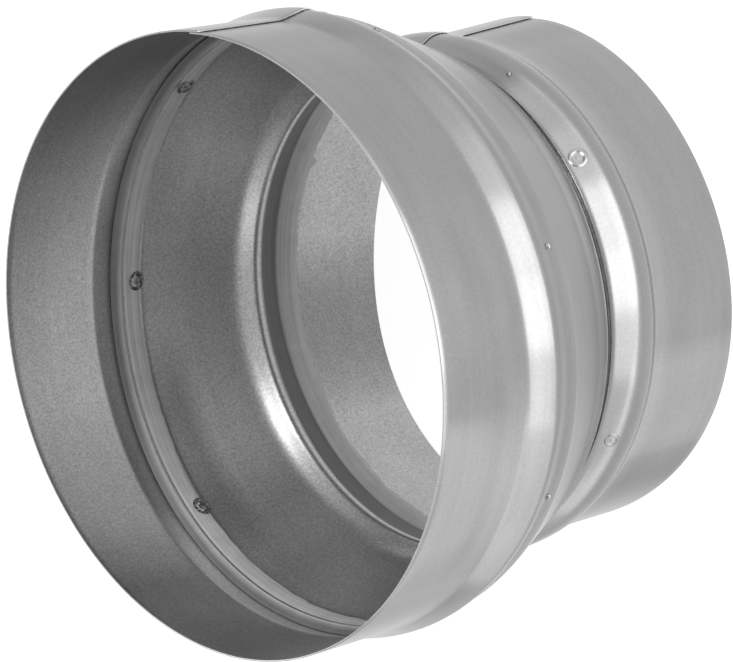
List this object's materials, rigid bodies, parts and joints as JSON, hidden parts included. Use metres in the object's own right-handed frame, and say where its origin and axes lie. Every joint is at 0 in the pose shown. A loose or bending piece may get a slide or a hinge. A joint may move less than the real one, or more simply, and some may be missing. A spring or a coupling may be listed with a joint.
{
  "type": "duct reducer",
  "caption": "Galvanised sheet reducer that joins a large round air duct to a smaller one: two rolled, beaded collars welded to a conical ring, with sealed joints.",
  "frame": {"origin": "on the duct axis, in the plane of the small mouth that the reducer stands on", "axes": "+Z along the duct axis from the small mouth to the large one; +X is 15 degrees short of the lap seams"},
  "size_m": [0.1524, 0.1524, 0.109],
  "materials": {
    "galvanised_sheet": "satin zinc",
    "sealant": "smeared, satin"
  },
  "bodies": {
    "root": {"large_collar": "galvanised_sheet", "reducing_ring": "galvanised_sheet", "small_collar": "galvanised_sheet", "large_joint_sealant": "sealant", "small_joint_sealant": "sealant"}
  },
  "joints": []
}
